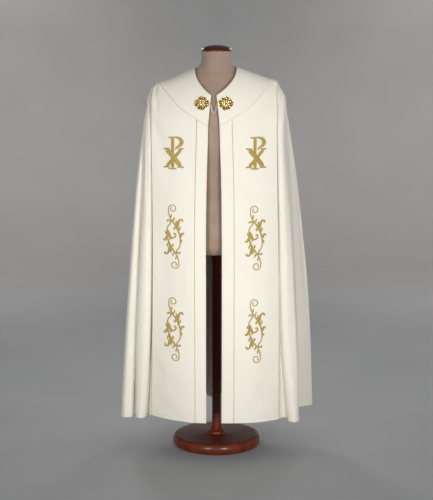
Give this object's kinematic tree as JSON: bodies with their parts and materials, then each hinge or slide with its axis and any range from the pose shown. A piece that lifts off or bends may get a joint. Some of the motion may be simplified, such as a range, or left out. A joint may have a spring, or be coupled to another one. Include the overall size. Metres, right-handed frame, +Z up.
{
  "type": "cope vestment on a dress form",
  "caption": "long open-fronted ivory cope with shoulder collar, orphrey panels, deep hanging folds and a chained clasp, on a limbless tailor's dress form with a turned base",
  "frame": {"origin": "centre of the flat underside of the stand's round base", "axes": "+Z up the pole, the open front faces -Y, +X is the right of someone who looks at the front"},
  "size_m": [0.809, 0.484, 1.659],
  "materials": {
    "ivory_cloth": "matt ivory wool and silk with a soft sheen",
    "form_linen": "plain woven linen",
    "dark_wood": "polished dark red-brown",
    "gilt_metal": "satin gilt",
    "silver_chain": "bright",
    "dark_stone": "polished"
  },
  "bodies": {
    "root": {"chain_link_01": "silver_chain", "chain_link_02": "silver_chain", "chain_link_03": "silver_chain", "chain_link_04": "silver_chain", "chain_link_05": "silver_chain", "chain_link_06": "silver_chain", "chain_link_07": "silver_chain", "chain_link_08": "silver_chain", "chain_link_09": "silver_chain", "chain_link_10": "silver_chain", "chain_link_11": "silver_chain", "clasp_eye_left": "gilt_metal", "clasp_eye_right": "gilt_metal", "clasp_medal_left": "gilt_metal", "clasp_medal_right": "gilt_metal", "clasp_stone_left": "dark_stone", "clasp_stone_right": "dark_stone", "collar": "ivory_cloth", "cope_body": "ivory_cloth", "form_base": "dark_wood", "form_neck_cap": "dark_wood", "form_pole": "dark_wood", "form_torso": "form_linen", "front_band_left": "ivory_cloth", "front_band_right": "ivory_cloth", "orphrey_left": "ivory_cloth", "orphrey_right": "ivory_cloth"}
  },
  "joints": []
}
